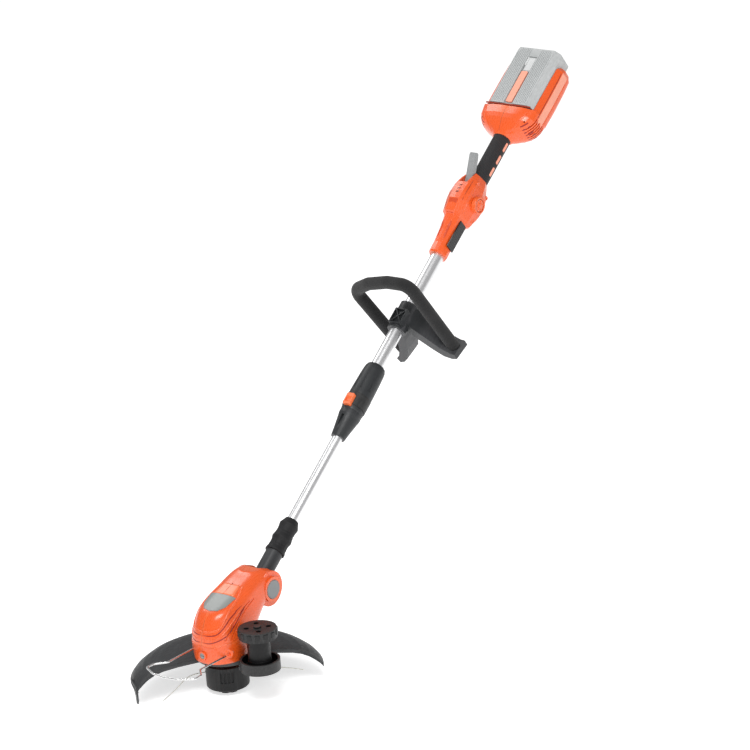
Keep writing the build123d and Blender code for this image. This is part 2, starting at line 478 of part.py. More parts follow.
bt = box(-7.6, BATT_TOP, -BATT_W, BATT_W, BATT_S0, BATT_S1)
bt = chamfer(bt.edges().filter_by(Axis.Z).group_by(Axis.X)[-1], 14.0)
bt = fillet(bt.edges().filter_by(Axis.X).group_by(Axis.Z)[-1], 5.0)
bt -= box(BATT_TOP - 3.0, BATT_TOP + 5, -11, 11, BATT_S0 - 5, BATT_S1 - 22)
bt -= box(-5.0, BATT_TOP - 7.6, -50.5, 50.5, BATT_S0 + 20, BATT_S1 - 3)
bt -= box(2, 24, -18, 18, BATT_S0 - 5, BATT_S0 + 14)
bt -= box(BATT_TOP - 6, BATT_TOP + 5, -8.4, 8.4, BATT_S0 + 3, BATT_S0 + 86)
save("battery_base", bt & box(-50, 12, -100, 100, 1100, 1500), True)
save("battery_cover", bt & box(12, 80, -100, 100, 1100, 1500), True)
save("battery_latch", fillet(box(BATT_TOP - 3.2, BATT_TOP + 0.6, -8, 8, BATT_S0 + 3.5, BATT_S0 + 85.5).edges().filter_by(Axis.X), 3.0), True)
cells = Part()
for r_ in range(2):
    for c_ in range(6):
        cells += Pos(4.3 + 18.9 * r_, 0, BATT_S0 + 31 + 19.2 * c_) * Rot(90, 0, 0) * Cylinder(9.0, 96)
save("battery_cells", cells, True)
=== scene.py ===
import bpy, bmesh, math, random
from mathutils import Vector, Matrix


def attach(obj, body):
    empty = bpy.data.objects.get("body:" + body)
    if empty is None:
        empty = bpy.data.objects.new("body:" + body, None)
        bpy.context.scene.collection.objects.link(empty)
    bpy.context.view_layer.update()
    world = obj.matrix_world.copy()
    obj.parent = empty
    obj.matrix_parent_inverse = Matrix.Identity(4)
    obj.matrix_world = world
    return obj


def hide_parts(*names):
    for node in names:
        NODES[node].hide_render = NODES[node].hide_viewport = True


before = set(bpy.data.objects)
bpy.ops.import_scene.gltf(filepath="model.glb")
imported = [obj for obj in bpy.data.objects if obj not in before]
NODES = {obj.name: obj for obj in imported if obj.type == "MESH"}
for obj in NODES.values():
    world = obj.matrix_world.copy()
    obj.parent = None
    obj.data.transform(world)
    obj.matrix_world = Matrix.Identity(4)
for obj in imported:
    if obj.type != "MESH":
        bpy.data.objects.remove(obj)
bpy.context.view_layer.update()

rnd = random.Random(7)

# ------------------------------------------------------------------ frame of the boom
TH = math.radians(37.0)
PIV = Vector((0.110, 0.0, 0.180))
N = Vector((-math.sin(TH), 0, math.cos(TH)))
W = Vector((0, -1, 0))
S = Vector((math.cos(TH), 0, math.sin(TH)))


def L(n, w, s):
    """boom coordinates in mm (up, left, along) to the row frame in metres"""
    return PIV + (N * n + W * w + S * s) / 1000.0


BOOM = Matrix((( N.x, W.x, S.x, PIV.x), (N.y, W.y, S.y, PIV.y), (N.z, W.z, S.z, PIV.z), (0, 0, 0, 1)))


# ------------------------------------------------------------------ material helpers
def nt(mat):
    return mat.node_tree.nodes, mat.node_tree.links


def plastic(name, col, rough=0.4, grain=900.0, grain_h=0.25, var=0.05, spec=0.5, coat=0.0, coat_rough=0.15,
            edge=0.0008, scratch=0.0, metallic=0.0, wear=None, sheen=0.0, dirt=0.0):
    """moulded plastic: fine grain, slow colour drift, handling scratches and rounded edges"""
    m = bpy.data.materials.new(name)
    m.use_nodes = True
    n, l = nt(m)
    b = n["Principled BSDF"]
    b.inputs["Metallic"].default_value = metallic
    b.inputs["Specular IOR Level"].default_value = spec
    b.inputs["Coat Weight"].default_value = coat
    b.inputs["Coat Roughness"].default_value = coat_rough
    tc = n.new("ShaderNodeTexCoord")
    big = n.new("ShaderNodeTexNoise"); big.inputs["Scale"].default_value = 18.0; big.inputs["Detail"].default_value = 4.0
    l.new(tc.outputs["Object"], big.inputs["Vector"])
    ramp = n.new("ShaderNodeValToRGB")
    ramp.color_ramp.elements[0].position = 0.3; ramp.color_ramp.elements[1].position = 0.75
    lo = [c * (1 - var) for c in col]; hi = [min(1.0, c * (1 + var)) for c in col]
    ramp.color_ramp.elements[0].color = (*lo, 1); ramp.color_ramp.elements[1].color = (*hi, 1)
    l.new(big.outputs["Fac"], ramp.inputs["Fac"])
    colour = ramp.outputs["Color"]
    fine = n.new("ShaderNodeTexNoise"); fine.inputs["Scale"].default_value = grain; fine.inputs["Detail"].default_value = 3.0
    l.new(tc.outputs["Object"], fine.inputs["Vector"])
    # scratches: stretched noise
    mp = n.new("ShaderNodeMapping"); mp.inputs["Scale"].default_value = (40.0, 260.0, 90.0); mp.inputs["Rotation"].default_value = (0.4, 0.7, 0.3)
    l.new(tc.outputs["Object"], mp.inputs["Vector"])
    sc = n.new("ShaderNodeTexNoise"); sc.inputs["Scale"].default_value = 2.2; sc.inputs["Detail"].default_value = 6.0
    l.new(mp.outputs["Vector"], sc.inputs["Vector"])
    rr = n.new("ShaderNodeMapRange")
    rr.inputs["From Min"].default_value = 0.3; rr.inputs["From Max"].default_value = 0.75
    rr.inputs["To Min"].default_value = max(0.05, rough - 0.06 - scratch); rr.inputs["To Max"].default_value = min(1.0, rough + 0.07 + scratch)
    l.new(sc.outputs["Fac"], rr.inputs["Value"])
    l.new(rr.outputs["Result"], b.inputs["Roughness"])
    if wear is not None:
        geo = n.new("ShaderNodeNewGeometry")
        wr = n.new("ShaderNodeMapRange"); wr.inputs["From Min"].default_value = 0.53; wr.inputs["From Max"].default_value = 0.60
        l.new(geo.outputs["Pointiness"], wr.inputs["Value"])
        mulw = n.new("ShaderNodeMath"); mulw.operation = "MULTIPLY"
        l.new(wr.outputs["Result"], mulw.inputs[0]); l.new(sc.outputs["Fac"], mulw.inputs[1])
        mixw = n.new("ShaderNodeMixRGB"); mixw.inputs["Color2"].default_value = (*wear, 1)
        l.new(mulw.outputs[0], mixw.inputs["Fac"]); l.new(colour, mixw.inputs["Color1"])
        colour = mixw.outputs["Color"]
    l.new(colour, b.inputs["Base Color"])
    bump = n.new("ShaderNodeBump"); bump.inputs["Strength"].default_value = grain_h; bump.inputs["Distance"].default_value = 0.0002
    l.new(fine.outputs["Fac"], bump.inputs["Height"])
    if edge > 0:
        bev = n.new("ShaderNodeBevel"); bev.samples = 4; bev.inputs["Radius"].default_value = edge
        l.new(bev.outputs["Normal"], bump.inputs["Normal"])
    l.new(bump.outputs["Normal"], b.inputs["Normal"])
    m["grain_bump"] = bump.name
    return m


def hx(r, g, b):
    f = lambda c: ((c / 255.0) / 12.92) if c / 255.0 <= 0.04045 else (((c / 255.0) + 0.055) / 1.055) ** 2.4
    return (f(r), f(g), f(b))


M_ORANGE = plastic("orange_gloss", (0.83, 0.100, 0.011), rough=0.28, grain=700, grain_h=0.10, var=0.05, spec=0.55, coat=0.30, coat_rough=0.16, wear=(0.92, 0.20, 0.06), scratch=0.02)
# painted shade: a dark copy of the orange, laid on grooves, seams and lip lines where shade falls
M_PAINTED_SHADE_ORANGE = plastic("orange_deep", (0.33, 0.03, 0.006), rough=0.5, grain=900, grain_h=0.15, edge=0.0)
M_PINK = plastic("pale_inset", (0.92, 0.36, 0.24), rough=0.42, grain=900, grain_h=0.12, edge=0.0)
# painted shade: a darker copy of the orange for the front slope and neck scoops, standing for their shaded recesses
M_PAINTED_SHADE_SLOPE = plastic("orange_shade", (0.62, 0.060, 0.010), rough=0.42, grain=900, grain_h=0.15, edge=0.0)
# painted shade: flat dark red strips drawn where slots and grooves are dark from shade
M_PAINTED_SHADE_SLOT = plastic("slot_red", (0.30, 0.012, 0.004), rough=0.5, grain=900, grain_h=0.15, edge=0.0)
# painted highlight: a paler copy of the orange for the head's upward top facet, lighter because it faces the lights
M_PAINTED_HIGHLIGHT_ORANGE = plastic("orange_pale_facet", (0.90, 0.20, 0.075), rough=0.30, grain=800, grain_h=0.10, coat=0.2, edge=0.0)
M_WHITE = plastic("white_line", (0.85, 0.86, 0.86), rough=0.4, grain=1300, grain_h=0.2, var=0.03)
M_SALMON = plastic("salmon_button", (0.88, 0.17, 0.045), rough=0.38, grain=900, grain_h=0.12)
M_DARK = plastic("dark_grey_plastic", (0.021, 0.023, 0.025), rough=0.46, grain=1100, grain_h=0.35, var=0.12, wear=(0.07, 0.07, 0.075), scratch=0.04, spec=0.4)
M_GUARD = plastic("guard_plastic", (0.021, 0.023, 0.025), rough=0.50, grain=900, grain_h=0.40, var=0.16, wear=(0.09, 0.09, 0.09), scratch=0.06, spec=0.4)
M_BLACK = plastic("black_plastic", (0.006, 0.006, 0.0065), rough=0.44, grain=1100, grain_h=0.3, var=0.15, spec=0.3, wear=(0.05, 0.05, 0.05), scratch=0.05)
M_RUBBER = plastic("soft_black", (0.009, 0.009, 0.010), rough=0.62, grain=1600, grain_h=0.5, var=0.15, spec=0.35)
M_PAD = plastic("side_pad_black", (0.010, 0.010, 0.011), rough=0.30, grain=1200, grain_h=0.15, var=0.1, spec=0.5)
M_RIB = plastic("battery_rib", (0.50, 0.515, 0.515), rough=0.5, grain=1300, grain_h=0.2, var=0.04, edge=0.0)
M_GREY = plastic("battery_grey", (0.36, 0.375, 0.375), rough=0.48, grain=1300, grain_h=0.3, var=0.04, wear=(0.62, 0.63, 0.63))
M_LEVER = plastic("lever_grey", (0.21, 0.22, 0.225), rough=0.40, grain=1200, grain_h=0.25, var=0.06, wear=(0.36, 0.37, 0.37))
M_BADGE = plastic("badge_grey", (0.24, 0.255, 0.245), rough=0.36, grain=1500, grain_h=0.15, var=0.08, coat=0.2)
M_PALE = plastic("pale_grey", (0.62, 0.63, 0.63), rough=0.45, grain=1300, grain_h=0.2, var=0.04)
M_CELL = plastic("cell_sleeve", (0.04, 0.16, 0.42), rough=0.35, grain=600, grain_h=0.1)
M_BOARD = plastic("board_green", (0.02, 0.13, 0.05), rough=0.4, grain=500, grain_h=0.2)
M_NYLON = plastic("nylon_line", (0.62, 0.62, 0.56), rough=0.35, grain=1500, grain_h=0.2, var=0.06, edge=0.0)
M_NYLON.node_tree.nodes["Principled BSDF"].inputs["Subsurface Weight"].default_value = 0.15
M_NYLON.node_tree.nodes["Principled BSDF"].inputs["Subsurface Radius"].default_value = (0.001, 0.001, 0.001)


def metal(name, col, rough, stretch, axis_mat=None, aniso=0.0, var=0.06, edge=0.0):
    """drawn or turned metal with fine lines along its length"""
    m = bpy.data.materials.new(name)
    m.use_nodes = True
    n, l = nt(m)
    b = n["Principled BSDF"]
    b.inputs["Metallic"].default_value = 1.0
    b.inputs["Anisotropic"].default_value = aniso
    tc = n.new("ShaderNodeTexCoord")
    rot = n.new("ShaderNodeMapping"); rot.inputs["Rotation"].default_value = (0, TH, 0) if axis_mat else (0, 0, 0)
    l.new(tc.outputs["Object"], rot.inputs["Vector"])
    mp = n.new("ShaderNodeMapping"); mp.inputs["Scale"].default_value = stretch
    l.new(rot.outputs["Vector"], mp.inputs["Vector"])
    no = n.new("ShaderNodeTexNoise"); no.inputs["Scale"].default_value = 1.0; no.inputs["Detail"].default_value = 5.0
    l.new(mp.outputs["Vector"], no.inputs["Vector"])
    ramp = n.new("ShaderNodeValToRGB")
    ramp.color_ramp.elements[0].position = 0.25; ramp.color_ramp.elements[1].position = 0.8
    ramp.color_ramp.elements[0].color = (*[c * (1 - var) for c in col], 1)
    ramp.color_ramp.elements[1].color = (*[min(1, c * (1 + var)) for c in col], 1)
    l.new(no.outputs["Fac"], ramp.inputs["Fac"]); l.new(ramp.outputs["Color"], b.inputs["Base Color"])
    rr = n.new("ShaderNodeMapRange"); rr.inputs["To Min"].default_value = rough - 0.07; rr.inputs["To Max"].default_value = rough + 0.09
    l.new(no.outputs["Fac"], rr.inputs["Value"]); l.new(rr.outputs["Result"], b.inputs["Roughness"])
    bump = n.new("ShaderNodeBump"); bump.inputs["Strength"].default_value = 0.12; bump.inputs["Distance"].default_value = 0.0001
    l.new(no.outputs["Fac"], bump.inputs["Height"])
    if edge > 0:
        bev = n.new("ShaderNodeBevel"); bev.samples = 4; bev.inputs["Radius"].default_value = edge
        l.new(bev.outputs["Normal"], bump.inputs["Normal"])
    l.new(bump.outputs["Normal"], b.inputs["Normal"])
    return m


M_TUBE = metal("satin_tube", (0.80, 0.80, 0.81), 0.34, (8.0, 900.0, 900.0), axis_mat=True)
M_STEEL = metal("bright_steel", (0.62, 0.62, 0.63), 0.28, (300.0, 300.0, 300.0), edge=0.0003)
M_WIRE = metal("wire_steel", (0.66, 0.66, 0.66), 0.26, (60.0, 500.0, 500.0))
M_MOTOR = metal("motor_can", (0.35, 0.35, 0.37), 0.4, (200.0, 200.0, 20.0))
M_BRASS = metal("contact_plate", (0.80, 0.60, 0.28), 0.3, (300.0, 300.0, 300.0))

# closed-cell foam: soft pits and a slight mottling
M_FOAM = bpy.data.materials.new("foam_black")
M_FOAM.use_nodes = True
n, l = nt(M_FOAM)
b = n["Principled BSDF"]; b.inputs["Specular IOR Level"].default_value = 0.25
b.inputs["Sheen Weight"].default_value = 0.12; b.inputs["Sheen Roughness"].default_value = 0.6
tc = n.new("ShaderNodeTexCoord")
v = n.new("ShaderNodeTexVoronoi"); v.inputs["Scale"].default_value = 620.0
no = n.new("ShaderNodeTexNoise"); no.inputs["Scale"].default_value = 260.0; no.inputs["Detail"].default_value = 6.0
lo = n.new("ShaderNodeTexNoise"); lo.inputs["Scale"].default_value = 22.0
for t in (v, no, lo):
    l.new(tc.outputs["Object"], t.inputs["Vector"])
mx = n.new("ShaderNodeMath"); mx.operation = "ADD"
l.new(v.outputs["Distance"], mx.inputs[0]); l.new(no.outputs["Fac"], mx.inputs[1])
bp = n.new("ShaderNodeBump"); bp.inputs["Strength"].default_value = 0.55; bp.inputs["Distance"].default_value = 0.0006
l.new(mx.outputs[0], bp.inputs["Height"]); l.new(bp.outputs["Normal"], b.inputs["Normal"])
rp = n.new("ShaderNodeValToRGB")
rp.color_ramp.elements[0].color = (0.006, 0.006, 0.006, 1); rp.color_ramp.elements[1].color = (0.020, 0.020, 0.021, 1)
l.new(lo.outputs["Fac"], rp.inputs["Fac"]); l.new(rp.outputs["Color"], b.inputs["Base Color"])
b.inputs["Roughness"].default_value = 0.85
rg = n.new("ShaderNodeMapRange"); rg.inputs["To Min"].default_value = 0.72; rg.inputs["To Max"].default_value = 0.95
l.new(no.outputs["Fac"], rg.inputs["Value"]); l.new(rg.outputs["Result"], b.inputs["Roughness"])

# knurled grip: crossed ridges round and along the boom
M_KNURL = bpy.data.materials.new("knurled_grip")
M_KNURL.use_nodes = True
n, l = nt(M_KNURL)
b = n["Principled BSDF"]; b.inputs["Specular IOR Level"].default_value = 0.4
tc = n.new("ShaderNodeTexCoord")
rot = n.new("ShaderNodeMapping"); rot.inputs["Location"].default_value = (-PIV.x, 0, -PIV.z); rot.vector_type = "POINT"
l.new(tc.outputs["Object"], rot.inputs["Vector"])
rt = n.new("ShaderNodeMapping"); rt.inputs["Rotation"].default_value = (0, TH, 0)
l.new(rot.outputs["Vector"], rt.inputs["Vector"])
sep = n.new("ShaderNodeSeparateXYZ"); l.new(rt.outputs["Vector"], sep.inputs[0])
at = n.new("ShaderNodeMath"); at.operation = "ARCTAN2"
l.new(sep.outputs["Y"], at.inputs[0]); l.new(sep.outputs["Z"], at.inputs[1])
heights = []
for sgn in (1, -1):
    a = n.new("ShaderNodeMath"); a.operation = "MULTIPLY"; a.inputs[1].default_value = 20.0 * sgn
    l.new(at.outputs[0], a.inputs[0])
    c = n.new("ShaderNodeMath"); c.operation = "MULTIPLY_ADD"; c.inputs[1].default_value = 1500.0
    l.new(sep.outputs["X"], c.inputs[0]); l.new(a.outputs[0], c.inputs[2])
    sn = n.new("ShaderNodeMath"); sn.operation = "SINE"; l.new(c.outputs[0], sn.inputs[0])
    heights.append(sn)
mx = n.new("ShaderNodeMath"); mx.operation = "MULTIPLY"
l.new(heights[0].outputs[0], mx.inputs[0]); l.new(heights[1].outputs[0], mx.inputs[1])
fine = n.new("ShaderNodeTexNoise"); fine.inputs["Scale"].default_value = 1500.0; l.new(tc.outputs["Object"], fine.inputs["Vector"])
ad = n.new("ShaderNodeMath"); ad.operation = "MULTIPLY_ADD"; ad.inputs[1].default_value = 0.3
l.new(fine.outputs["Fac"], ad.inputs[0]); l.new(mx.outputs[0], ad.inputs[2])
bp = n.new("ShaderNodeBump"); bp.inputs["Strength"].default_value = 0.8; bp.inputs["Distance"].default_value = 0.0005
l.new(ad.outputs[0], bp.inputs["Height"]); l.new(bp.outputs["Normal"], b.inputs["Normal"])
rp = n.new("ShaderNodeValToRGB")
rp.color_ramp.elements[0].color = (0.012, 0.012, 0.013, 1); rp.color_ramp.elements[1].color = (0.042, 0.042, 0.045, 1)
l.new(mx.outputs[0], rp.inputs["Fac"]); l.new(rp.outputs["Color"], b.inputs["Base Color"])
rg = n.new("ShaderNodeMapRange"); rg.inputs["To Min"].default_value = 0.45; rg.inputs["To Max"].default_value = 0.7
l.new(fine.outputs["Fac"], rg.inputs["Value"]); l.new(rg.outputs["Result"], b.inputs["Roughness"])

FINISH = {
    M_ORANGE: "motor_housing_left motor_housing_right motor_base switch_housing_left switch_housing_right dock_left dock_right",
    M_SALMON: "latch_button",
    M_PINK: "battery_latch grip_inlays",
    M_DARK: "coupling_shell turn_collar handle_bracket handle_clamp_cap wheel_arm tilt_knuckle grip_spine slide_bushing",
    M_GUARD: "guard",
    M_BLACK: "wheel_axle spool_housing bump_knob edge_wheel coupling_band clamp_knob spool_reel micro_switch",
    M_RUBBER: "boom_boot",
    M_KNURL: "rear_grip",
    M_PAD: "side_pad",
    M_FOAM: "foam_grip",
    M_GREY: "battery_base battery_cover",
    M_LEVER: "lock_lever tilt_button front_screw",
    M_BADGE: "badge_plate",
    M_TUBE: "upper_tube lower_tube",
    M_STEEL: "drive_shaft tilt_pin lever_pin clamp_bolt guard_screws line_cutter line_eyelets handle_core",
    M_WIRE: "wire_bail",
    M_MOTOR: "motor_can motor_rotor",
    M_NYLON: "line_left line_right wound_line",
    M_BOARD: "control_board",
    M_BRASS: "dock_terminals",
    M_CELL: "battery_cells",
    M_PAINTED_SHADE_ORANGE: "",
}


def paint(o, m):
    if not o.material_slots:
        o.data.materials.append(m)
    for sl in o.material_slots:
        sl.material = m


for m, names in FINISH.items():
    for nm in names.split():
        paint(NODES[nm], m)
paint(NODES["side_cap"], M_ORANGE)


# ------------------------------------------------------------------ mesh helpers
def mesh_obj(name, verts, faces, mat, smooth=True):
    me = bpy.data.meshes.new(name)
    me.from_pydata([tuple(v) for v in verts], [], faces)
    me.update()
    o = bpy.data.objects.new(name, me)
    bpy.context.scene.collection.objects.link(o)
    bm = bmesh.new(); bm.from_mesh(me)
    bmesh.ops.remove_doubles(bm, verts=bm.verts, dist=1e-7)
    bmesh.ops.recalc_face_normals(bm, faces=bm.faces)
    bm.to_mesh(me); bm.free()
    if smooth:
        for p in me.polygons:
            p.use_smooth = True
    me.materials.append(mat)
    return o


def soften(o, width=0.0006, seg=2, angle=35):
    md = o.modifiers.new("Bevel", "BEVEL"); md.width = width; md.segments = seg; md.limit_method = "ANGLE"; md.angle_limit = math.radians(angle)
    md.harden_normals = True
    return o


def strip(name, pts, up, half, height, mat, body, slot, bevel=0.0004):
    """raised strip with rounded ends along pts (world points), up normals, half width, height above the surface"""
    vs, fs = [], []
    k = len(pts)
    for i, p in enumerate(pts):
        t = (pts[min(i + 1, k - 1)] - pts[max(i - 1, 0)]).normalized()
        u = up[i] if isinstance(up, list) else up
        side = t.cross(u).normalized()
        taper = 1.0
        for a, h in ((-1, -0.6), (-1, 1.0), (1, 1.0), (1, -0.6)):
            vs.append(p + side * half * a * taper + u * height * h)
    for i in range(k - 1):
        for j in range(4):
            a = i * 4 + j; b_ = i * 4 + (j + 1) % 4
            fs.append((a, b_, b_ + 4, a + 4))
    fs.append((0, 1, 2, 3)); fs.append(tuple((k - 1) * 4 + j for j in (3, 2, 1, 0)))
    o = mesh_obj(name, vs, fs, mat, smooth=False)
    soften(o, bevel)
    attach(o, body)
    return o


def lathe(name, profile, origin, axis, mat, body, seg=48, x_dir=None, closed=True):
    """profile of (radius, height) in mm turned round axis through origin"""
    ax = axis.normalized()
    xd = (x_dir or (Vector((0, 1, 0)) if abs(ax.y) < 0.9 else Vector((1, 0, 0))))
    xd = (xd - ax * xd.dot(ax)).normalized(); yd = ax.cross(xd)
    vs, fs = [], []
    for i in range(seg):
        a = 2 * math.pi * i / seg
        d = xd * math.cos(a) + yd * math.sin(a)
        for r, h in profile:
            vs.append(origin + d * r / 1000 + ax * h / 1000)
    k = len(profile)
    for i in range(seg):
        for j in range(k - 1):
            a = i * k + j; b_ = ((i + 1) % seg) * k + j
            fs.append((a, b_, b_ + 1, a + 1))
    o = mesh_obj(name, vs, fs, mat)
    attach(o, body)
    return o


def screw(name, at, axis, r, body, depth=1.2, mat=None, slot="steel", style="torx"):
    """recessed screw head with a six-point socket"""
    prof = [(0.0, 0.25)]
    ax = axis.normalized()
    xd = Vector((0, 0, 1)) if abs(ax.z) < 0.9 else Vector((1, 0, 0))
    xd = (xd - ax * xd.dot(ax)).normalized(); yd = ax.cross(xd)
    vs, fs = [], []
    seg = 36
    rings = [(r, -depth), (r, 0.25), (r * 0.93, 0.5), (r * 0.55, 0.55), (r * 0.5, 0.3), (r * 0.46, -0.6), (0.02, -0.7)]
    for (rr_, h) in rings:
        for i in range(seg):
            a = 2 * math.pi * i / seg
            q = rr_
            if rr_ < r * 0.56 and rr_ > 0.1:
                q = rr_ * (1 + 0.18 * math.cos(6 * a))
            vs.append(at + (xd * math.cos(a) + yd * math.sin(a)) * q / 1000 + ax * h / 1000)
    for j in range(len(rings) - 1):
        for i in range(seg):
            a = j * seg + i; b_ = j * seg + (i + 1) % seg
            fs.append((a, b_, b_ + seg, a + seg))
    o = mesh_obj(name, vs, fs, mat or M_STEEL)
    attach(o, body)
    return o



# ------------------------------------------------------------------ surface lookup on the CAD shells
from mathutils.bvhtree import BVHTree
bpy.context.view_layer.update()


def tree(names):
    vs, fs = [], []
    for nm in names.split():
        o = NODES[nm]; mw = o.matrix_world; base = len(vs)
        vs += [mw @ v.co for v in o.data.vertices]
        fs += [tuple(base + i for i in p.vertices) for p in o.data.polygons]
    return BVHTree.FromPolygons(vs, fs)


HEAD = tree("motor_housing_left motor_housing_right motor_base")


def drop(bvh, p, out, reach=0.03):
    """the point of the shell under p when looking against out, with its normal"""
    hit, nor, _, _ = bvh.ray_cast(p + out * reach, -out, reach * 2.5)
    if hit is None:
        hit, nor, _, _ = bvh.find_nearest(p)
    if nor.dot(out) < 0:
        nor = -nor
    return hit, nor


def smooth_path(pts, per=6):
    out = []
    k = len(pts)
    for i in range(k - 1):
        p0, p1, p2, p3 = pts[max(i - 1, 0)], pts[i], pts[i + 1], pts[min(i + 2, k - 1)]
        for j in range(per):
            t = j / per
            out.append(0.5 * ((2 * p1) + (p2 - p0) * t + (2 * p0 - 5 * p1 + 4 * p2 - p3) * t * t + (3 * p1 - p0 - 3 * p2 + p3) * t ** 3))
    out.append(pts[-1])
    return out


def head_out(p):
    return Vector((p.x - 0.030, p.y * 1.1, (p.z - 0.140) * 0.55)).normalized()


def ridge(name, bvh, pts, outf, half, height, mat, body, sink=0.5, taper=4):
    """ridge (height > 0) or flat groove line (height near 0), dark only through the painted-shade material it is given,
    lying on a shell, tapered at its ends; a rounded cross-section
    """
    path = smooth_path([Vector(p) / 1000.0 for p in pts])
    hits = [drop(bvh, p, outf(p)) for p in path]
    k = len(hits)
    sec = [(-1.0, -sink), (-0.72, height * 0.62), (-0.3, height), (0.3, height), (0.72, height * 0.62), (1.0, -sink)]
    vs, fs = [], []
    for i, (p, nrm) in enumerate(hits):
        t = (hits[min(i + 1, k - 1)][0] - hits[max(i - 1, 0)][0]).normalized()
        side = t.cross(nrm).normalized()
        f = min(1.0, (i + 0.25) / taper, (k - 1 - i + 0.25) / taper)
        for a, h in sec:
            vs.append(p + side * half * a * f / 1000 + nrm * (h if h < 0 else h * f) / 1000)
    m = len(sec)
    for i in range(k - 1):
        for j_ in range(m):
            a = i * m + j_; b_ = i * m + (j_ + 1) % m
            fs.append((a, b_, b_ + m, a + m))
    fs.append(tuple(range(m))); fs.append(tuple((k - 1) * m + j_ for j_ in range(m - 1, -1, -1)))
    o = mesh_obj(name, vs, fs, mat)
    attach(o, body)
    return o


def patch(name, bvh, corners, outf, height, mat, body, nu=14, nv=12, sink=0.6):
    """thin raised panel draped on a shell between four corners (mm), with a chamfered rim"""
    c = [Vector(q) / 1000.0 for q in corners]
    vs, fs = [], []
    top = {}
    for i in range(nu + 1):
        for j_ in range(nv + 1):
            u, v_ = i / nu, j_ / nv
            p = (c[0] * (1 - u) + c[1] * u) * (1 - v_) + (c[3] * (1 - u) + c[2] * u) * v_
            hit, nrm = drop(bvh, p, outf(p))
            edge = i in (0, nu) or j_ in (0, nv)
            top[i, j_] = len(vs)
            vs.append(hit + nrm * (-sink if edge else height) / 1000)
    for i in range(nu):
        for j_ in range(nv):
            fs.append((top[i, j_], top[i + 1, j_], top[i + 1, j_ + 1], top[i, j_ + 1]))
    base = {}
    for i in range(nu + 1):
        for j_ in range(nv + 1):
            if i in (0, nu) or j_ in (0, nv):
                base[i, j_] = top[i, j_]
            else:
                u, v_ = i / nu, j_ / nv
                p = (c[0] * (1 - u) + c[1] * u) * (1 - v_) + (c[3] * (1 - u) + c[2] * u) * v_
                hit, nrm = drop(bvh, p, outf(p))
                base[i, j_] = len(vs)
                vs.append(hit - nrm * (sink + 0.3) / 1000)
    for i in range(nu):
        for j_ in range(nv):
            fs.append((base[i, j_ + 1], base[i + 1, j_ + 1], base[i + 1, j_], base[i, j_]))
    o = mesh_obj(name, vs, fs, mat)
    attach(o, body)
    return o


def poly_loft(name, sects, mat, body):
    """faceted shell through mirrored half sections (n, w) from top centre to bottom centre at each s"""
    vs, fs = [], []
    rings = []
    for s_, half in sects:
        full = list(half) + [(n_, -w_) for n_, w_ in reversed(half[1:-1])]
        rings.append(len(vs))
        vs += [L(n_, w_, s_) for n_, w_ in full]
    m = len(sects[0][1]) * 2 - 2
    for a, b_ in zip(rings, rings[1:]):
        for i in range(m):
            j_ = (i + 1) % m
            fs.append((a + i, a + j_, b_ + j_, b_ + i))
    fs.append(tuple(range(rings[0], rings[0] + m))); fs.append(tuple(rings[-1] + i for i in range(m - 1, -1, -1)))
    o = mesh_obj(name, vs, fs, mat, smooth=False)
    return o


def cutter(n0, n1, w0, w1, s0, s1):
    vs = [L(n_, w_, s_) for n_ in (n0, n1) for w_ in (w0, w1) for s_ in (s0, s1)]
    fs = [(0, 1, 3, 2), (4, 6, 7, 5), (0, 4, 5, 1), (2, 3, 7, 6), (0, 2, 6, 4), (1, 5, 7, 3)]
    me = bpy.data.meshes.new("cut"); me.from_pydata([tuple(v) for v in vs], [], fs); me.update()
    bm = bmesh.new(); bm.from_mesh(me); bmesh.ops.recalc_face_normals(bm, faces=bm.faces); bm.to_mesh(me); bm.free()
    o = bpy.data.objects.new("cut", me); bpy.context.scene.collection.objects.link(o)
    return o


def carve(o, boxes):
    for bx in boxes:
        c = cutter(*bx)
        md = o.modifiers.new("cut", "BOOLEAN"); md.operation = "DIFFERENCE"; md.solver = "EXACT"; md.object = c
        dg = bpy.context.evaluated_depsgraph_get()
        me = bpy.data.meshes.new_from_object(o.evaluated_get(dg))
        o.modifiers.clear()
        old = o.data; o.data = me
        bpy.data.meshes.remove(old)
        cm = c.data; bpy.data.objects.remove(c); bpy.data.meshes.remove(cm)
    return o


def drape(name, fn, u_pts, v_pts, mat, body, thick=0.6):
    """thin panel whose outer face is fn(u, v) -> (point, normal), closed with a back face"""
    vs, fs = [], []
    ku, kv = len(u_pts), len(v_pts)
    for sgn in (0, 1):
        for u in u_pts:
            for v_ in v_pts:
                p, nrm = fn(u, v_)
                vs.append(p - nrm * (thick / 1000 if sgn else 0))
    off = ku * kv
    for i in range(ku - 1):
        for j_ in range(kv - 1):
            a = i * kv + j_
            fs.append((a, a + kv, a + kv + 1, a + 1))
            fs.append((off + a, off + a + 1, off + a + kv + 1, off + a + kv))
    for i in range(ku - 1):
        for j_ in (0, kv - 1):
            a = i * kv + j_
            fs.append((a, off + a, off + a + kv, a + kv))
    for j_ in range(kv - 1):
        for i in (0, ku - 1):
            a = i * kv + j_
            fs.append((a, a + 1, off + a + 1, off + a))
    o = mesh_obj(name, vs, fs, mat, smooth=False)
    soften(o, 0.0003)
    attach(o, body)
    return o


def bar(name, corners, mat, body, bevel=0.0004):
    """solid from eight corner points: four of the lower face, then four of the upper face"""
    fs = [(3, 2, 1, 0), (4, 5, 6, 7), (0, 1, 5, 4), (1, 2, 6, 5), (2, 3, 7, 6), (3, 0, 4, 7)]
    o = mesh_obj(name, corners, fs, mat, smooth=False)
    soften(o, bevel)
    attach(o, body)
    return o


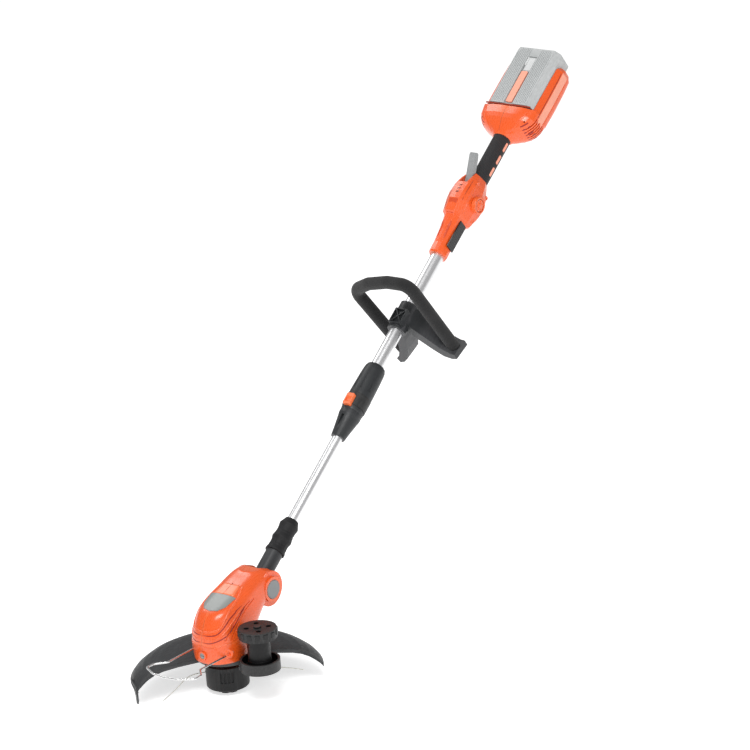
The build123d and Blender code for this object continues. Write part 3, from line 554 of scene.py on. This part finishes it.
# ------------------------------------------------------------------ switch housing with its flats
UP = "boom"
HS_POLY = [
    (826, [(19, 0), (18.5, 9), (13, 15), (2, 19), (-8, 17), (-15, 11), (-19, 0)]),
    (830, [(20.4, 0), (19.9, 9.3), (14.2, 16), (2, 20.2), (-8.6, 18), (-15.6, 11.6), (-19.6, 0)]),
    (850, [(21.5, 0), (21, 9), (15, 15.5), (1, 19.6), (-8, 17.5), (-14.5, 11.5), (-18.2, 0)]),
    (880, [(25.5, 0), (25, 9), (18, 16.5), (1, 20.6), (-8, 18), (-14.5, 12), (-18, 0)]),
    (905, [(30, 0), (29.5, 10), (21, 18), (0, 21.8), (-10, 19), (-17, 13), (-20.5, 0)]),
    (915, [(32, 0), (31.5, 10.5), (23, 19.5), (0, 23.5), (-13, 21), (-20, 15), (-24, 0)]),
    (920, [(39, 0), (38.5, 12), (29, 22.5), (0, 27), (-17, 24), (-25, 16), (-28.5, 0)]),
    (948, [(45, 0), (44.5, 12.5), (35, 25), (2, 31.5), (-22, 28), (-33, 18), (-39.5, 0)]),
    (966, [(46, 0), (45.5, 13), (36, 26), (2, 32), (-24, 29), (-35, 19), (-42, 0)]),
    (990, [(44.5, 0), (44, 13.5), (34, 25), (4, 30.5), (-19, 27), (-30, 17), (-37.5, 0)]),
    (1003, [(40, 0), (39.5, 13), (31, 22.5), (4, 27.5), (-15, 23), (-25, 15), (-30.5, 0)]),
    (1015, [(35, 0), (34.5, 11), (26, 18), (3, 23.5), (-12, 19), (-18.5, 12), (-21.5, 0)]),
    (1022, [(32.5, 0), (32, 10), (24, 15), (3, 20.5), (-11, 16.5), (-16.5, 10), (-19, 0)]),
]
sh = poly_loft("switch_shell", HS_POLY, M_ORANGE, UP)
carve(sh, [(14, 70, -8.9, 8.9, 990.5, 1040), (-9.5, 14.5, 19.2, 60, 846, 912)])
soften(sh, 0.0009, seg=3, angle=14)
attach(sh, UP)
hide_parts("switch_housing_left", "switch_housing_right")

# dark front slope above the neck
# painted shade: a darker orange bar stands for the shaded finger recess on the front slope
bar("switch_front_slope", [L(33.2, -8.5, 916.6), L(33.2, 8.5, 916.6), L(44.2, 10.5, 946), L(44.2, -10.5, 946),
                           L(34.6, -8.5, 916.0), L(34.6, 8.5, 916.0), L(45.6, 10.5, 945.4), L(45.6, -10.5, 945.4)], M_PAINTED_SHADE_SLOPE, UP)
# three small windows
for k, s_ in enumerate((963, 971.5, 980)):
    nn = 45.9 - max(0, s_ - 966) * 0.0625
    bar("window_%d" % k, [L(nn - 1, -3.6, s_ - 2.3), L(nn - 1, 3.6, s_ - 0.8), L(nn - 1, 3.6, s_ + 2.3), L(nn - 1, -3.6, s_ + 0.8),
                          L(nn + 0.35, -3.3, s_ - 2.0), L(nn + 0.35, 3.3, s_ - 0.5), L(nn + 0.35, 3.3, s_ + 2.0), L(nn + 0.35, -3.3, s_ + 0.5)], M_BLACK, UP, 0.0003)
SWB = None


def tree_of(obj):
    dg = bpy.context.evaluated_depsgraph_get()
    me = bpy.data.meshes.new_from_object(obj.evaluated_get(dg))
    mw = obj.matrix_world
    t_ = BVHTree.FromPolygons([mw @ v.co for v in me.vertices], [tuple(p_.vertices) for p_ in me.polygons])
    bpy.data.meshes.remove(me)
    return t_


SWB = tree_of(sh)
side_out = lambda p: (W * (1 if (p - PIV).dot(W) > 0 else -1) + N * 0.45).normalized()
top_out = lambda p: N
for sgn, nm in ((1, "left"), (-1, "right")):
    q = lambda n_, w_, s_: tuple(L(n_, sgn * w_, s_) * 1000)
    # edge line: a flat dark strip of painted shade for the shadow gap between the top and the side
    ridge("switch_edge_line_" + nm, SWB, [q(38, 20, 1002), q(40, 20, 988), q(41.5, 20, 965), q(40, 19.5, 945), q(34, 18, 923)], side_out, 0.7, 0.12, M_PAINTED_SHADE_ORANGE, UP, sink=0.3)
    ridge("switch_step_" + nm, SWB, [q(30, 26, 1000), q(31, 28, 985), q(30, 29, 962), q(27, 27, 940), q(20, 23, 922)], side_out, 1.6, 0.7, M_ORANGE, UP)
    # neck scoops: flat darker orange patches, painted shade standing for the shaded finger dents
    ridge("neck_scoop_" + nm, SWB, [q(26.5, 9, 902), q(24.5, 9.5, 888), q(22.5, 9.5, 872), q(21.5, 9, 858)], lambda p: N, 2.6, 0.10, M_PAINTED_SHADE_SLOPE, UP, sink=0.3)
    # rings, ribs and screw on the round side boss
    o_ = L(4, sgn * 33.4, 962)
    ax = W * sgn
    if sgn > 0:
        lathe("boss_ring", [(18.0, 3.6), (18.2, 4.6), (17.2, 5.3), (14.6, 5.3), (14.0, 4.6), (14.0, 3.6), (18.0, 3.6)], o_, ax, M_ORANGE, UP, seg=64)
        lathe("boss_hub", [(0.0, 6.0), (5.2, 6.0), (6.2, 5.2), (6.4, 3.6), (0.0, 3.6)], o_, ax, M_ORANGE, UP, seg=48)
        # the groove ring is a thin dark band of painted shade
        lathe("boss_groove", [(14.0, 3.9), (14.0, 4.25), (12.6, 4.25), (12.6, 3.9), (14.0, 3.9)], o_, ax, M_PAINTED_SHADE_ORANGE, UP, seg=64)
        for k in range(6):
            a0 = math.radians(60 * k + 15)
            d_ = N * math.cos(a0) + S * math.sin(a0); e_ = ax.cross(d_).normalized()
            c0 = o_ + ax * 0.0038
            pr = [(6.3, 1.5), (12.8, 1.5)]
            bar("boss_rib_%d" % k, [c0 + (d_ * r_ + e_ * h_) / 1000 for r_, h_ in ((6.0, -1.1), (13.0, -1.1), (13.0, 1.1), (6.0, 1.1))] +
                [c0 + ax * 0.0013 + (d_ * r_ + e_ * h_) / 1000 for r_, h_ in ((6.0, -0.8), (13.0, -0.8), (13.0, 0.8), (6.0, 0.8))], M_ORANGE, UP, 0.0003)
    # small screw towers
    for t_, (n_, s_) in enumerate(((-12.4, 931.5), (27, 1001), (-17, 996))):
        hit, nrm = drop(SWB, L(n_, sgn * 28, s_), side_out(L(n_, sgn * 28, s_)) if n_ > 0 else (W * sgn).normalized())
        lathe("tower_%s_%d" % (nm, t_), [(0.0, 0.5), (2.2, 0.5), (2.4, 1.6), (4.0, 1.6), (4.6, 1.0), (4.8, -2.0)], hit, W * sgn, M_ORANGE, UP, seg=40)

# side pad: fine diagonal ribs
for k in range(11):
    s0_ = 851 + 5.4 * k
    bar("pad_rib_%d" % k, [L(-7.4, 22.3, s0_), L(12.4, 22.3, s0_), L(12.4, 22.3, s0_ + 2.2), L(-7.4, 22.3, s0_ + 2.2),
                           L(-7.0, 23.0, s0_ + 0.4), L(12.0, 23.0, s0_ + 0.4), L(12.0, 23.0, s0_ + 1.8), L(-7.0, 23.0, s0_ + 1.8)], M_PAD, UP, 0.0002)

# ------------------------------------------------------------------ battery: fine ribs each side of the channel
def rib_set():
    vs, fs = [], []
    def add(n0, w0, s0, s1, hw, h):
        base = len(vs)
        for (w_, hh) in ((w0 - hw, -0.3), (w0 - hw * 0.62, h), (w0 + hw * 0.62, h), (w0 + hw, -0.3)):
            for s_ in (s0, s1):
                vs.append(L(n0 + hh, w_, s_))
        idx = lambda i, j: base + i * 2 + j
        for i in range(3):
            fs.append((idx(i, 0), idx(i, 1), idx(i + 1, 1), idx(i + 1, 0)))
        fs.append((idx(0, 0), idx(1, 0), idx(2, 0), idx(3, 0))); fs.append((idx(3, 1), idx(2, 1), idx(1, 1), idx(0, 1)))
        fs.append((idx(3, 0), idx(3, 1), idx(0, 1), idx(0, 0)))
    for side in (-1, 1):
        for k in range(8):
            add(41.0, side * (13.8 + 4.3 * k), 1206, 1347 - (0 if k < 6 else 4 * (k - 5)), 1.25, 1.5)
    return mesh_obj("battery_ribs", vs, fs, M_RIB, smooth=False)


ribs = rib_set(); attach(ribs, "battery")
BT = tree("battery_cover")
# pale recess behind the latch and the light line at its edge
bar("battery_recess", [L(36.6, -8.6, 1292), L(36.6, 8.6, 1292), L(36.6, 8.6, 1327), L(36.6, -8.6, 1327),
                       L(38.9, -8.4, 1292.6), L(38.9, 8.4, 1292.6), L(38.9, 8.4, 1326.4), L(38.9, -8.4, 1326.4)], M_PALE, "battery")
bar("battery_line", [L(37.4, -10.8, 1306), L(37.4, -8.6, 1306), L(37.4, -8.6, 1327), L(37.4, -10.8, 1327),
                     L(40.9, -10.6, 1306.4), L(40.9, -8.9, 1306.4), L(40.9, -8.9, 1326.8), L(40.9, -10.6, 1326.8)], M_WHITE, "battery")
for sgn, nm in ((1, "left"), (-1, "right")):
    # surface points where the side beads of the pack sit; no bead is drawn
    for k, n_ in enumerate((34, 20)):
        hit, nrm = drop(BT, L(n_, sgn * 58, 1270), W * sgn)

# ------------------------------------------------------------------ dock details
DK = tree("dock_left dock_right")
dfront = lambda p: (N * 0.75 - S * 0.66).normalized()
# seam and front lip: thin dark strips of painted shade where the seam gap and the lip fall in shade
ridge("dock_seam", DK, [tuple(L(n_, 0, s_) * 1000) for n_, s_ in ((24, 1142), (28, 1149), (32, 1158), (35.5, 1168), (37.6, 1180), (38.2, 1192))], dfront, 0.55, 0.10, M_PAINTED_SHADE_ORANGE, UP, sink=0.3, taper=2)
bar("dock_lip", [L(36.5, -58, 1199.6), L(36.5, 58, 1199.6), L(36.5, 58, 1202.6), L(36.5, -58, 1202.6),
                 L(39.4, -56, 1199.9), L(39.4, 56, 1199.9), L(38.6, 56, 1202.4), L(38.6, -56, 1202.4)], M_PAINTED_SHADE_ORANGE, UP, 0.0004)
for sgn, nm in ((1, "left"), (-1, "right")):
    # pale inset band along the side
    us = [1178 + 6.0 * k for k in range(25)]
    def fn(u, v_, sgn=sgn):
        hit, nrm = drop(DK, L(v_, sgn * 66, u), W * sgn)
        return hit + nrm * 0.0007, nrm
    drape("dock_band_" + nm, fn, [u for u in us if u < 1320], [-8, -4, 0, 4, 8, 12 - 0.5], M_PINK, UP, 1.4)
    # the band's upper edge is a dark line of painted shade
    ridge("dock_band_edge_" + nm, DK, [tuple(L(14.2, sgn * 66, s_) * 1000) for s_ in range(1182, 1320, 12)], lambda p, sgn=sgn: W * sgn, 1.3, 0.12, M_PAINTED_SHADE_ORANGE, UP, sink=0.3)
    ridge("dock_band_low_" + nm, DK, [tuple(L(-10.6, sgn * 66, s_) * 1000) for s_ in range(1184, 1312, 12)], lambda p, sgn=sgn: W * sgn, 0.9, 0.6, M_ORANGE, UP, sink=0.4)
    # corner crease between the front and the side; below it, cooling slots drawn as flat dark red strips of painted
    # shade
    ridge("dock_crease_" + nm, DK, [tuple(L(n_, sgn * w_, s_) * 1000) for n_, w_, s_ in ((33, 56, 1199), (31, 47, 1178), (27, 38, 1163), (22, 29, 1150), (16, 22, 1142))],
          lambda p, sgn=sgn: (N * 0.62 - S * 0.55 + W * sgn * 0.56).normalized(), 2.2, 0.9, M_ORANGE, UP, sink=0.6)
    dso = lambda p, sgn=sgn: (W * sgn * 0.75 - S * 0.66).normalized()
    for k in range(7):
        n0 = 22.0 - 8.0 * k
        a_, b_ = L(n0, sgn * 46, 1158.5) * 1000, L(n0 + 1.2, sgn * 61, 1171.5) * 1000
        ridge("dock_slot_%s_%d" % (nm, k), DK, [tuple(a_), tuple(a_ * 0.5 + b_ * 0.5), tuple(b_)], dso, 2.0, 0.12, M_PAINTED_SHADE_SLOT, UP, sink=0.3, taper=1.3)

# ------------------------------------------------------------------ motor head details
for sgn, nm in ((1, "left"), (-1, "right")):
    m_ = lambda pts: [(x, y * sgn, z) for x, y, z in pts]
    ridge("visor_edge_" + nm, HEAD, m_([(42, -24.3, 208), (25, -30, 200), (8.8, -33.6, 192), (-5, -35, 185), (-16.8, -35.1, 179), (-27, -35.6, 171), (-35.6, -35.5, 163), (-45, -34, 154), (-51, -30.1, 149), (-57, -20, 146), (-61.5, -8, 144.5), (-62.5, 0, 144)]),
          head_out, 2.4, 1.3, M_ORANGE, "head", sink=0.8, taper=2)
    # side grooves: flat dark red strips, painted shade standing for the shade in the grooves
    ridge("side_groove_a_" + nm, HEAD, m_([(-64.5, 0, 138), (-62, -16, 138), (-56.4, -29.2, 140), (-46.8, -36.7, 148), (-36, -39, 156), (-24.8, -40.7, 165), (-10, -42, 172), (-3.8, -42.3, 176), (13.2, -43, 181)]),
          head_out, 1.5, 0.14, M_PAINTED_SHADE_SLOT, "head", sink=0.3, taper=6)
    ridge("side_ridge_b_" + nm, HEAD, m_([(-65.5, 0, 131), (-64, -18, 130), (-57, -31, 132), (-46, -40, 140), (-32, -43.5, 150), (-14, -44.5, 163), (4, -44.6, 173), (20, -44, 181)]),
          head_out, 1.9, 1.0, M_ORANGE, "head", sink=0.6, taper=6)
    ridge("side_groove_b_" + nm, HEAD, m_([(-66, 0, 124), (-64.5, -17, 123), (-55.8, -33.3, 128), (-39.5, -43.8, 136), (-24.5, -46.4, 147), (0.1, -46.1, 164), (14, -45, 173), (26.8, -43.6, 181)]),
          head_out, 1.5, 0.14, M_PAINTED_SHADE_SLOT, "head", sink=0.3, taper=6)
    ridge("skirt_line_" + nm, HEAD, m_([(-67, 0, 117), (-65.5, -17.4, 113), (-55.7, -34.7, 115), (-37.8, -46, 121), (-15, -51, 128)]), head_out, 1.2, 0.8, M_ORANGE, "head", sink=0.6, taper=4)
    # sockets of the wire bail
    o_ = Vector((-0.0415, 0.0455 * sgn, 0.0985)); ax = Vector((-0.86, 0.5 * sgn, 0.0)).normalized()
    hit, nrm = drop(HEAD, o_, ax)
    lathe("bail_socket_" + nm, [(9.6, -4.0), (9.2, 0.6), (8.0, 1.8), (6.2, 2.2), (4.2, 2.0), (3.4, 0.6), (3.2, -1.5)], hit, (nrm + ax).normalized(), M_ORANGE, "head", seg=48)
# painted highlight: the head's top facet is a paler orange panel, lighter because it faces the lights
patch("top_facet", HEAD, [(40, -21, 208), (40, 21, 208), (6.5, 27.5, 193), (9, -27.5, 193)], lambda p: Vector((-0.35, 0, 0.94)).normalized(), 1.7, M_PAINTED_HIGHLIGHT_ORANGE, "head")
# seam lines: thin dark strips of painted shade for the seam gaps
ridge("top_seam", HEAD, [(41, 0, 210), (30, 0, 205), (18, 0, 200), (9, 0, 196)], lambda p: Vector((-0.35, 0, 0.94)).normalized(), 0.7, 1.95, M_PAINTED_SHADE_ORANGE, "head", sink=0.2, taper=1.5)
ridge("nose_seam", HEAD, [(-48, 0, 168), (-55, 0, 158), (-60, 0, 148), (-64, 0, 136), (-66.5, 0, 122), (-67, 0, 112)], head_out, 0.45, 0.10, M_PAINTED_SHADE_ORANGE, "head", sink=0.2, taper=2)
# boss behind the front screw, with its collar
hit, nrm = drop(HEAD, Vector((-0.064, 0.0, 0.090)), Vector((-1, 0, 0)))
lathe("front_boss", [(14.5, -5.0), (13.6, 0.4), (12.2, 1.6), (9.2, 2.0), (8.6, 0.8), (8.4, -1.0)], hit, nrm, M_ORANGE, "head", seg=56)

# ------------------------------------------------------------------ side ribs of the boot
BOOT = tree("boom_boot")
for k in range(10):
    a = math.radians(36 * k + 10)
    d_ = N * math.cos(a) + W * math.sin(a)
    pts = [tuple((PIV + S * s_ / 1000 + d_ * 0.018) * 1000) for s_ in (88, 96, 104)]
    ridge("boot_rib_%d" % k, BOOT, pts, lambda p, d_=d_: d_, 1.3, 0.5, M_RUBBER, "lower_boom", sink=0.4, taper=3)

# ------------------------------------------------------------------ edge wheel: grip blocks round both rims
WB = NODES["edge_wheel"]
wv = [WB.matrix_world @ v.co for v in WB.data.vertices]
wx = (min(v.x for v in wv) + max(v.x for v in wv)) / 2; wy = (min(v.y for v in wv) + max(v.y for v in wv)) / 2
wz0, wz1 = min(v.z for v in wv), max(v.z for v in wv)
wr_ = (max(v.x for v in wv) - min(v.x for v in wv)) / 2


def ring_blocks(name, cx, cy, r_, z0, z1, count, half, out, mat, body):
    vs, fs = [], []
    for k in range(count):
        a = 2 * math.pi * (k + 0.5) / count
        d_ = Vector((math.cos(a), math.sin(a), 0)); e_ = Vector((-math.sin(a), math.cos(a), 0))
        b0 = len(vs)
        for z in (z0, z1):
            for rr2, hh in ((r_ - 0.0012, half), (r_ + out, half * 0.72), (r_ + out, -half * 0.72), (r_ - 0.0012, -half)):
                vs.append(Vector((cx, cy, z)) + d_ * rr2 + e_ * hh)
        fs += [(b0, b0 + 1, b0 + 2, b0 + 3), (b0 + 7, b0 + 6, b0 + 5, b0 + 4)]
        for q in range(4):
            q2 = (q + 1) % 4
            fs.append((b0 + q, b0 + q2, b0 + 4 + q2, b0 + 4 + q))
    o = mesh_obj(name, vs, fs, mat, smooth=False)
    soften(o, 0.0003)
    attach(o, body)
    return o


ring_blocks("wheel_top_blocks", wx, wy, wr_ - 0.0012, wz1 - 0.0135, wz1 - 0.0035, 14, 0.0052, 0.0011, M_BLACK, "edge_wheel")
ring_blocks("wheel_low_blocks", wx, wy, wr_ - 0.0012, wz0 + 0.0022, wz0 + 0.0105, 18, 0.0038, 0.0011, M_BLACK, "edge_wheel")

# ------------------------------------------------------------------ cutting line stubs
def pol(r, a, z):
    return Vector((r * math.cos(math.radians(a)), r * math.sin(math.radians(a)), z)) / 1000.0


def line_curve(name, node, pts):
    cu = bpy.data.curves.new(name, "CURVE"); cu.dimensions = "3D"
    sp = cu.splines.new("NURBS"); sp.points.add(len(pts) - 1)
    for i, p in enumerate(pts):
        sp.points[i].co = (*p, 1)
    sp.order_u = 3; sp.use_endpoint_u = True; sp.resolution_u = 16
    cu.bevel_depth = 0.001; cu.bevel_resolution = 4; cu.use_fill_caps = True
    o = bpy.data.objects.new(name, cu); bpy.context.scene.collection.objects.link(o)
    cu.materials.append(M_NYLON)
    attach(o, "spool"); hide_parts(node)
    return o


LINE_Z = 38.0
l1 = [pol(39.5, 129, LINE_Z), pol(56, 129, LINE_Z), pol(82, 140, 37.0), pol(112, 156, 28.0), pol(152, 163, 20.0)]
l2 = [pol(39.5, -51, LINE_Z), pol(60, -51, LINE_Z), pol(110, -50, 37.0), pol(152, -56, 33.0)]


c1 = line_curve("line_left_curve", "line_left", l1)
c2 = line_curve("line_right_curve", "line_right", l2)

# ------------------------------------------------------------------ floor, light and camera
def plane(name, size, loc, rot=(0, 0, 0)):
    me = bpy.data.meshes.new(name)
    s_ = size / 2
    me.from_pydata([(-s_, -s_, 0), (s_, -s_, 0), (s_, s_, 0), (-s_, s_, 0)], [], [(0, 1, 2, 3)])
    o = bpy.data.objects.new(name, me); bpy.context.scene.collection.objects.link(o)
    o.location = loc; o.rotation_euler = rot
    return o


floor = plane("floor", 60.0, (0, 0, -0.0005))
mf = bpy.data.materials.new("floor_pale"); mf.use_nodes = True
bb = mf.node_tree.nodes["Principled BSDF"]
fn = mf.node_tree.nodes.new("ShaderNodeTexNoise"); fn.inputs["Scale"].default_value = 0.6
fr = mf.node_tree.nodes.new("ShaderNodeValToRGB"); fr.color_ramp.elements[0].color = (0.86, 0.86, 0.86, 1); fr.color_ramp.elements[1].color = (0.90, 0.90, 0.90, 1)
mf.node_tree.links.new(fn.outputs["Fac"], fr.inputs["Fac"]); mf.node_tree.links.new(fr.outputs["Color"], bb.inputs["Base Color"])
bb.inputs["Roughness"].default_value = 0.9
bb.inputs["Specular IOR Level"].default_value = 0.1
mf.node_tree.links.new(fr.outputs["Color"], bb.inputs["Emission Color"])
bb.inputs["Emission Strength"].default_value = 0.72
floor.data.materials.append(mf)

world = bpy.data.worlds.new("studio"); bpy.context.scene.world = world
world.use_nodes = True
bg = world.node_tree.nodes["Background"]; bg.inputs["Color"].default_value = (1.0, 1.0, 1.0, 1); bg.inputs["Strength"].default_value = 0.40


def area(name, loc, target, size, power, colour=(1, 1, 1)):
    ld = bpy.data.lights.new(name, "AREA"); ld.shape = "RECTANGLE"; ld.size = size[0]; ld.size_y = size[1]; ld.energy = power; ld.color = colour
    o = bpy.data.objects.new(name, ld); bpy.context.scene.collection.objects.link(o)
    o.location = loc
    o.rotation_euler = (Vector(target) - Vector(loc)).to_track_quat("-Z", "Y").to_euler()
    return o


area("key", (-1.5, -1.0, 3.2), (0.5, 0, 0.45), (1.9, 1.4), 78)
area("fill", (-1.0, -3.6, 1.2), (0.5, 0, 0.45), (2.0, 2.4), 16)
area("rim", (0.9, 2.6, 3.4), (0.5, 0, 0.5), (1.6, 1.6), 34)

# camera fitted to the viewing angle: long lens from the operator's left front
EL, AL, RO = math.radians(18.57), math.radians(38.79), math.radians(4.24)
ce, se, ca, sa = math.cos(EL), math.sin(EL), math.cos(AL), math.sin(AL)
right = Vector((sa, -ca, 0)); upv = Vector((ca * se, sa * se, ce)); back = Vector((-ca * ce, -sa * ce, se))
cr, sr = math.cos(RO), math.sin(RO)
r2 = right * cr - upv * sr; u2 = right * sr + upv * cr
TGT = Vector((0.5347, 0.0, 0.4906)); DIST = 8.1676
loc = TGT + back * DIST
cam = bpy.data.cameras.new("camera"); co = bpy.data.objects.new("camera", cam); bpy.context.scene.collection.objects.link(co)
co.matrix_world = Matrix(((r2.x, u2.x, back.x, loc.x), (r2.y, u2.y, back.y, loc.y), (r2.z, u2.z, back.z, loc.z), (0, 0, 0, 1)))
cam.lens = 192.0; cam.sensor_width = 36.0; cam.clip_end = 100.0
bpy.context.scene.camera = co
bpy.context.scene.view_settings.view_transform = "Standard"
